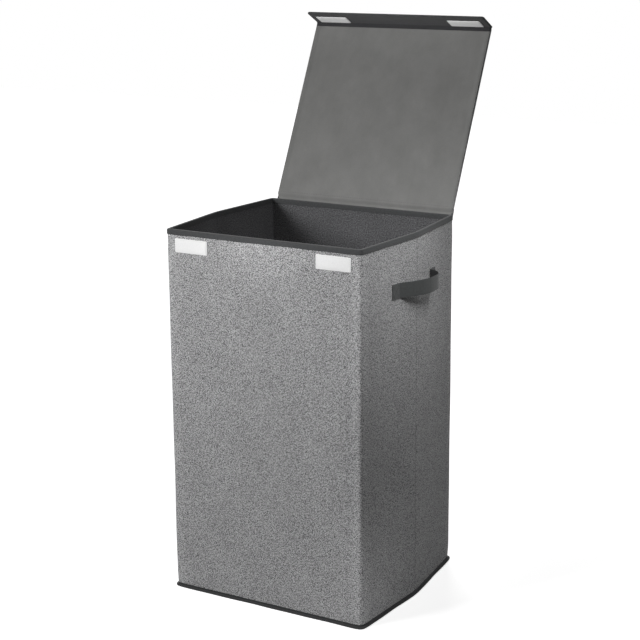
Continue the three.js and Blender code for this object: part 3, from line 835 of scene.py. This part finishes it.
def lid_strip(name, start, end, heights, facing, material, thickness, half=lid_half):
    """A strip of cloth on the lid, between two distances along it, whose height goes smoothly from the first
    to the last given. It looks back or to the front as facing is 1 or -1, and keeps a slight wave."""
    along, x = crossed(np.linspace(start, end, 12), facing * np.linspace(-half, half, 90))
    wave = 0.00002 * (2 + np.sin(27 * x + 40 * along) + np.sin(61 * x - 25 * along))
    height = heights[0] + (heights[1] - heights[0]) * fade(along, start, end)
    points = on_lid(x, along, height + facing * wave)
    return add_sheet(name, points, joined(x, along), material, thickness)


lid_cloth = spun_bonded("grey_spun_bonded_lining", "#7f7f7d", "#727271")
rear_low, rear_high, lining_at = -rear_length + 0.0040, -0.0040, -0.00025
rear_runs = [
    ("rear_seam", -rear_length - 0.0004, rear_low, lining_at, ("back_wall", "rear_flap"), "rear_flap_hinge"),
    ("rear_flap", rear_low, rear_high, lining_at, ("rear_flap",), None),
    ("rear_crease", rear_high, 0.0044, -0.0048, ("rear_flap", "lid"), "lid_hinge"),
]
for name, start, end, lining_to, bodies, joint in rear_runs:
    outside = lid_strip(f"{name}_canvas", start, end, (canvas_half, canvas_half), 1, canvas, thin_canvas)
    inside = lid_strip(f"{name}_inner_cloth", start, end, (lining_at, lining_to), -1, lid_cloth, thin_lining,
                       lining_half)
    for piece, slot_name in [(outside, "outer_fabric"), (inside, "lid_lining")]:
        if joint is None:
            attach(piece, bodies[0])
        else:
            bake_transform(piece)
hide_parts("rear_flap")

# Tape over the rear flap's lower edge. A strip of the dark tape is laid over the flap and sewn through it
# into the back wall, and holds the whole lid.
tape_half = 0.1735
tape_low, tape_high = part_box("lid_seam_tape")
height, x = crossed(np.linspace(tape_low[2], tape_high[2], 6), np.linspace(-tape_half, tape_half, 90))
sway = 0.0002 * np.sin(33 * x) * (1 - fade(height, tape_low[2], tape_low[2] + 0.004))
seam_tape = add_sheet("lid_seam_strip", joined(x, tape_high[1], height + sway), joined(x, height), tape,
                      tape_high[1] - tape_low[1] - 0.0002)
set_on(seam_tape, "back_wall", "lid_seam_tape")

# Lid. One board between canvas and grey spun-bonded cloth. The cloth is a little loose, and where it lies on
# the turned-in canvas along the sides it is raised by one thickness.
lid_front, lid_back, lid_hem, lid_room = -0.0043, 0.0004, 0.0030, 0.0030
pocket_corner = 0.003


def plate_ring(half_x, half_y, corner, inset_x, inset_y):
    """The outline of a rectangle with round corners, anticlockwise, drawn in by an inset on each axis: every
    point moves towards the middle in proportion. Points on its straight sides lie about 8 mm apart."""
    corners = np.array([[half_x, -half_y], [half_x, half_y], [-half_x, half_y], [-half_x, -half_y]])
    ring, _ = round_corners(corners, np.full(4, corner), 7)
    sides = []
    for a, b in zip(ring, np.roll(ring, -1, axis=0)):
        count = max(int(np.linalg.norm(b - a) / 0.008), 1)
        sides.append(a + (b - a) * np.arange(count)[:, None] / count)
    return np.vstack(sides) * np.array([1 - inset_x / half_x, 1 - inset_y / half_y])


def pocket(half_x, half_y, front, back, hem):
    """A cloth pocket over a board, open on its front: rings run out over the back from near its middle, round
    the edge in a half circle as high as the pocket is thick, and over the front as far as the hem. Returns
    sideways place, place along and height, with the cloth's own flat place; rows run from hem to middle."""
    turn = np.linspace(-np.pi / 2, np.pi / 2, 9)
    radius = (back - front) / 2
    share = np.linspace(0.97, 0.04, 24)
    edge = np.concatenate([[hem, (hem + radius) / 2], radius * (1 - np.cos(turn))])
    rolled = np.concatenate([radius - np.pi * radius - np.array([hem - radius, (hem - radius) / 2]),
                             radius - radius * (np.pi / 2 - turn)])
    height = np.concatenate([[front, front], (front + back) / 2 + radius * np.sin(turn)])
    points, places = [], []
    for inset, flat_inset, rise in zip(edge, rolled, height):
        points.append(np.insert(plate_ring(half_x, half_y, pocket_corner, inset, inset), 2, rise, axis=1))
        places.append(plate_ring(half_x, half_y, pocket_corner, flat_inset, flat_inset))
    for part in share:
        ring = plate_ring(half_x, half_y, pocket_corner, half_x * (1 - part), half_y * (1 - part))
        points.append(np.insert(ring, 2, back, axis=1))
        places.append(ring)
    return np.array(points), np.array(places)


def add_pocket(name, points, places, place, material):
    """The pocket's skin, closed round and over the middle of its back, put in place by the given function of
    sideways place, place along and height. The canvas's thickness goes on its inner side."""
    index = np.pad(numbered(points), ((0, 0), (0, 1)), "wrap")
    faces = quads(index).reshape(-1, 4)
    middle = index[-1, :-1][::-1]
    world = place(points[..., 0], points[..., 1], points[..., 2])
    uv = places.reshape(-1, 2)[np.concatenate([faces.ravel(), middle])]
    piece = add_mesh(name, world, faces.tolist() + [middle.tolist()], uv, material)
    thicken(piece, cloth_thickness)
    return piece


def lid_place(x, along, height):
    """Puts the lid's own sideways place, place from its middle and height behind it on the leaning lid."""
    return on_lid(x, lid_length / 2 + along, height)


lid_pocket = pocket(lid_half, lid_length / 2 - lid_room, lid_front, lid_back, lid_hem)
lid_canvas = add_pocket("lid_canvas", *lid_pocket, lid_place, canvas)
set_on(lid_canvas, "lid", "lid_cover")


def crinkle(x, along):
    """Creases in loose lining, in millimetres: five slow crossing waves, and thin ridges where a warped wave
    passes through zero, each one a narrow bell of that wave."""
    slow = np.sin(19 * x + 31 * along) + np.sin(47 * x - 13 * along) + np.sin(8 * x + 63 * along)
    warp = np.sin(33 * x + 3 * np.sin(17 * along)) + np.sin(29 * along - 4 * np.sin(13 * x + 1))
    return 0.09 * (3 + slow) + 0.20 * np.exp(-((warp / 0.18) ** 2))


along, x = crossed(np.linspace(0.0044, lid_length - 0.0062, 130), np.linspace(lining_half, -lining_half, 130))
near_edge = np.minimum(lid_half - np.abs(x), np.minimum(along, lid_length - along))
inside = fade(near_edge, 0.009, 0.022)
height = -0.0040 - 0.0008 * fade(near_edge, 0.0086, 0.0070) - 0.001 * crinkle(x, along) * inside
lid_lining = add_sheet("lid_inner_cloth", on_lid(x, along, height), joined(x, along), lid_cloth,
                       lining_thickness)
set_on(lid_lining, "lid", "lid_lining")

# Thread along the lid. Grey thread holds the lining to the turned-in canvas, 3.5 mm from the sides and above
# the rear crease, and dark thread holds the tape behind the rim.
back_way = np.array([0, np.cos(lean), -np.sin(lean)])
grey_thread = spun_thread("grey_polyester_thread", "#4e4e4f")
along, across_lid = np.linspace(0.012, lid_length - 0.012, 60), np.linspace(-0.168, 0.168, 60)
thread_x, thread_along, thread_height = 0.1705, 0.0066, -0.0045
rows = [on_lid(sign * thread_x, along, thread_height) for sign in (-1, 1)]
rows.append(on_lid(across_lid, thread_along, thread_height))
lid_thread = sew("lid_thread", [(path, np.tile(-back_way, (60, 1))) for path in rows], grey_thread)
set_on(lid_thread, "lid")

rows = []
for height in (tape_low[2] + thread_inset, tape_high[2] - thread_inset):
    rows.append((joined(across_lid, tape_high[1], height), np.tile([0.0, 1.0, 0.0], (60, 1))))
seam_thread = sew("lid_seam_thread", rows, dark_thread)
set_on(seam_thread, "back_wall")

# Front flap. A narrow board in the same canvas, bent forward from the lid's front edge and lined with black
# cloth, painted darker than the walls' lining as painted shade on a face that looks down. Canvas runs on
# over the crease between the lid and the flap.
flap_length = 0.044
flap_front, flap_back, flap_hem, flap_room = -0.0028, 0.0004, 0.0022, 0.0006
flap_lining_at, flap_lining_thickness = -0.0034, 0.0005


def flap_place(x, along, height):
    """Puts the flap's own sideways place, place from its middle and height above it in the world: it stands
    square to the lid, towards the front."""
    reach = flap_length / 2 + along
    y = fold_y - reach * np.cos(lean) + height * np.sin(lean)
    z = fold_z + reach * np.sin(lean) + height * np.cos(lean)
    return joined(x, y, z)


flap_points, flap_places = pocket(lid_half, flap_length / 2 - flap_room, flap_front, flap_back, flap_hem)
flap_points[..., 1] += flap_room
flap_canvas = add_pocket("flap_canvas", flap_points, flap_places, flap_place, canvas)
set_on(flap_canvas, "front_flap", "flap_cover")

# Painted shade: the flap's lining is a darker copy of the black lining, used also for the strip round the
# inner crease.
flap_cloth_painted_shade = spun_bonded("black_spun_bonded_flap_lining_painted_shade", "#39393b", "#222224")
along, x = crossed(np.linspace(flap_length / 2 - 0.0015, -flap_length / 2 + 0.0015, 20),
                   np.linspace(-lining_half, lining_half, 90))
points = flap_place(x, along, flap_lining_at - 0.00006 * (1 + np.sin(70 * x)))
flap_lining = add_sheet("flap_inner_cloth", points, joined(x, along), flap_cloth_painted_shade, flap_lining_thickness)
set_on(flap_lining, "front_flap", "flap_lining")


def crease_strip(name, before, centre, radius, turn, after, half, material, thickness):
    """A strip over the crease between lid and flap: the points before it, an arc about its centre through the
    angles of turn, from the way back to the way along the lid, and the points after it, all carried from
    half on one side to half on the other. Returns it with its length across the crease."""
    arc = centre + radius * (np.cos(turn)[:, None] * back_way + np.sin(turn)[:, None] * lid_way)
    profile = np.vstack([before, arc, after])
    x = np.linspace(-half, half, 60)
    points = np.repeat(profile[:, None], len(x), axis=1)
    points[..., 0] = x[None]
    u, v = crossed(distance_along(profile), x)
    piece = add_sheet(name, points, joined(v, u), material, thickness)
    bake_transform(piece)
    return piece, u[-1, 0]


bend_radius, canvas_at = 0.0050, canvas_half + 0.0003
before = on_lid(0.0, lid_length - np.array([0.0100, 0.0060]), canvas_at)
after = flap_place(0.0, np.array([0.0060, 0.0100]) - flap_length / 2, canvas_at)
centre = on_lid(0.0, lid_length - bend_radius, canvas_at - bend_radius)
front_crease, crease_length = crease_strip("front_crease_canvas", before, centre, bend_radius,
                                           np.linspace(0, np.pi / 2, 9), after, lid_half - 0.0015, canvas,
                                           thin_canvas)

inner_radius = 0.0035
inner_along = lid_length - 0.0034 - inner_radius
before = on_lid(0.0, inner_along - 0.0035, -0.0050)
centre = on_lid(0.0, inner_along, -0.0049 - inner_radius)
inner_crease, _ = crease_strip("front_crease_inner_cloth", before, centre, inner_radius,
                               np.linspace(0, np.pi / 2, 7), np.empty((0, 3)), -lining_half, flap_cloth_painted_shade,
                               flap_lining_thickness)

# Edge tape. Thin dark tape closes the raw edges of the rear flap, down both sides, and of the front flap,
# round its three free edges.


def edge_tape(name, path, out, section, place):
    """Carries a closed section along the edge of a plate: each point of the section is an inset from the edge
    and a height, and the edge is given by its points and the way out at each."""
    flat_place = path[:, None] - out[:, None] * section[None, :, :1]
    points = place(flat_place[..., 0], flat_place[..., 1], section[:, 1])
    return add_tape(name, points, distance_along(path), section)


def wrap_section(front, back, width_front, width_back, thickness=0.0005):
    """The section of a tape folded round an edge, as inset and height: in along the back, round the edge in a
    half circle and in along the front, and back again one thickness inside."""
    turn = np.linspace(np.pi / 2, -np.pi / 2, 9)
    middle = (front + back) / 2

    def side(grown):
        radius = (back - front) / 2 + grown
        arc = joined(radius * (1 - np.cos(turn)) - grown, middle + radius * np.sin(turn))
        return np.vstack([[width_back, back + grown], arc, [width_front, front - grown]])

    return np.vstack([side(thickness), side(0)[::-1]])


rear_wrap = wrap_section(-0.0002, 0.0004, width_front=0.0034, width_back=0.0040, thickness=0.0002)
for side, sign in [("left", -1), ("right", 1)]:
    path = joined(sign * lid_half, np.linspace(0.0045 - rear_length, -0.0010, 14)[::sign])
    out = np.tile([float(sign), 0.0], (14, 1))
    piece = edge_tape(f"{side}_rear_flap_edge_tape", path, out, rear_wrap, on_lid)
    set_on(piece, "rear_flap")

free_edge = flap_length / 2
corners = joined([lid_half, lid_half, -lid_half, -lid_half], [-1.0, free_edge, free_edge, -1.0])
bends, bend_heading = round_corners(corners, np.array([0.0001, 0.004, 0.004, 0.0001]), 7)
sides = np.linspace(0.0020 - free_edge, free_edge - 0.005, 8)
front_x = np.linspace(lid_half - 0.006, 0.006 - lid_half, 60)
path = np.vstack([joined(lid_half, sides), bends[7:14], joined(front_x, free_edge), bends[14:21],
                  joined(-lid_half, sides[::-1])])
heading = np.concatenate([np.full(8, np.pi / 2), bend_heading[7:14], np.full(60, np.pi), bend_heading[14:21],
                          np.full(8, 1.5 * np.pi)])
out = joined(np.sin(heading), -np.cos(heading))
flap_wrap = wrap_section(flap_front, flap_back, width_front=0.0028, width_back=0.0040)
flap_tape = edge_tape("flap_edge_tape", path, out, flap_wrap, flap_place)
set_on(flap_tape, "front_flap")

# Fastener patches. White hook-and-loop tape: soft loops on the front wall, hooks on the flap's inner face.
# Each is a strip with rounded corners, sewn round its edge with white thread, which draws the edge down.
patch_half_x, patch_half_y, patch_corner, patch_thickness = 0.031, 0.0115, 0.0018, 0.0012
patch_x, patch_y, groove_inset, groove_height = 0.131, -0.1633, 0.0021, 0.00086
patch_z = (0.583 + 0.606) / 2
patch_along = (0.008 + 0.031) / 2 - flap_length / 2


def patch_ring(inset):
    """The outline of a patch, drawn in by an inset."""
    return plate_ring(patch_half_x, patch_half_y, patch_corner, inset, inset)


def patch():
    """A strip of fastener tape lying on its back: rings run in from the foot of its edge, over a rounded
    shoulder, down into the sewn groove 2 mm from the edge, and up to the low crown of the pile. Rows are the
    rings and columns go round; heights are given from its back."""
    inset = [0, 0, 0.0003, 0.0009, 0.0016, 0.0021, 0.0027, 0.0040, 0.0065, 0.0095]
    height = np.array([0, 0.5, 0.78, 0.88, 0.80, 0.68, 0.86, 0.97, 1.0, 1.0]) * patch_thickness
    rings = np.array([patch_ring(part) for part in inset])
    return joined(rings[..., 0], rings[..., 1], height[:, None])


def napped_tape(name, light, dark, grain_mm):
    """The working face of hook-and-loop tape: white nylon in rows of loops or hooks, a bright matt grain."""
    material, tree, shader, place = add_material(name, roughness=0.8, sheen=0.3, on_cloth=False)
    nap = noise(tree, place, 1000 / grain_mm, detail=3.0)
    tree.links.new(between(tree, nap, dark, light), shader.inputs["Base Color"])
    add_bump(tree, shader, nap, strength=0.5, metres=0.0005)
    return material


def wall_place(x, along, height):
    """Puts a patch on the front wall: sideways place, place up the patch and height towards the front."""
    return joined(x, patch_y - height, patch_z + along)


def flap_patch_place(x, along, height):
    """Puts a patch on the flap's inner face, its height away from the lining."""
    return flap_place(-x, patch_along + along, flap_lining_at - height)


patch_kinds = [
    ("loop", "front_wall", 1, wall_place, napped_tape("white_loop_pile", "#f6f6f6", "#e2e2e2", 1.1)),
    ("hook", "front_flap", -1, flap_patch_place, napped_tape("white_hook_rows", "#fafafa", "#e4e4e4", 1.4)),
]
skin = patch()
for side, sign in [("left", -1), ("right", 1)]:
    for kind, body, way, place, material in patch_kinds:
        points = place(skin[..., 0] + way * sign * patch_x, skin[..., 1], skin[..., 2])
        piece = add_plate(f"{side}_{kind}_strip", points[::-way], skin[::-way], material)
        set_on(piece, body, f"{side}_{kind}_patch")

# Thread round the patches. White thread in the groove, 2 mm inside the edge of each patch.
white_thread = spun_thread("white_polyester_thread", "#e2e2e2")
groove = patch_ring(groove_inset)
groove = np.vstack([groove, groove[:1]])
for kind, body, way, place, _ in patch_kinds:
    rows = []
    for sign in (-1, 1):
        x = groove[:, 0] + way * sign * patch_x
        path, above = (place(x, groove[:, 1], groove_height + rise) for rise in (0, 0.001))
        rows.append((path, above - path))
    piece = sew(f"{kind}_strip_thread", rows, white_thread, pitch=0.0032, length=0.0022)
    set_on(piece, body)

# Floor and backdrop. One pale sheet of paper. The camera sees it as white, with only the hamper's shadow on
# it; to the light it is ordinary pale paper.
floor_size = 12.0


def seen_rays(tree):
    """1 for a camera, glossy or transmission ray, and 0 for the rays that carry light."""
    rays = add_node(tree, "ShaderNodeLightPath").outputs
    seen = calc(tree, "MAXIMUM", rays["Is Camera Ray"], rays["Is Glossy Ray"])
    return calc(tree, "MAXIMUM", seen, rays["Is Transmission Ray"])


def backdrop_paper():
    """Matt pale paper. For a camera, glossy or transmission ray, light is added to it, from four fifths of
    white near the hamper to more than white 1.6 m away, so that it reads as white and keeps the shadow."""
    material, tree, shader, place = add_material("backdrop_paper", roughness=0.9, on_cloth=False)
    shader.inputs["Base Color"].default_value = linear("#dcdcdc")
    shader.inputs["Emission Color"].default_value = (1, 1, 1, 1)
    away = add_node(tree, "ShaderNodeVectorMath", {0: place}, operation="LENGTH").outputs["Value"]
    light = calc(tree, "MULTIPLY", remap(tree, away, 0.4, 1.6, 0.79, 1.1), seen_rays(tree))
    tree.links.new(light, shader.inputs["Emission Strength"])
    return material


bpy.ops.mesh.primitive_plane_add(size=floor_size)
floor = bpy.context.object
floor.name = "studio_floor"
floor.data.materials.append(backdrop_paper())

# Studio light. The key, a soft lamp in front and to the left, lights the front wall, and a soft one behind
# lights the back. Three small ones help it: high on the right for the side wall, low in front for the lid's
# lining and the flap, and by the foot for the corner nearest the camera. The world adds an even grey.


def add_lamp(name, place, aim, size, power, spread=180):
    """A square soft lamp at a place, aimed at a point, whose light is kept within a spread in degrees."""
    lamp = bpy.data.lights.new(name, "AREA")
    lamp.shape, lamp.size, lamp.energy, lamp.spread = "SQUARE", size, power, np.radians(spread)
    holder = bpy.data.objects.new(name, lamp)
    holder.location = place
    holder.rotation_euler = (Vector(aim) - Vector(place)).to_track_quat("-Z", "Y").to_euler()
    holder.visible_camera = False
    bpy.context.scene.collection.objects.link(holder)


add_lamp("key", (-1.05, -1.75, 1.15), (0, 0, 0.72), 0.55, 7.8, 80)
add_lamp("side", (0.50, -0.18, 0.96), (0.19, -0.04, 0.60), 0.3, 0.40, 60)
add_lamp("low", (0.0, -0.95, 0.22), (0, 0.30, 1.02), 0.15, 0.08, 17)
add_lamp("corner", (0.50, -0.40, 0.05), (0.19, -0.16, 0.0), 0.12, 0.05, 60)
add_lamp("back", (-0.8, 1.7, 1.0), (0, 0.2, 0.5), 0.6, 4.2, 85)
world = bpy.data.worlds.new("studio")
bpy.context.scene.world = world
world.use_nodes = True
tree = world.node_tree
tree.nodes.clear()
strength = remap(tree, seen_rays(tree), 0.0, 1.0, 0.07, 1.0)
sky = add_node(tree, "ShaderNodeBackground", {"Color": (1, 1, 1, 1), "Strength": strength})
add_node(tree, "ShaderNodeOutputWorld", {"Surface": sky.outputs[0]})

bpy.context.scene.view_settings.view_transform = "Standard"
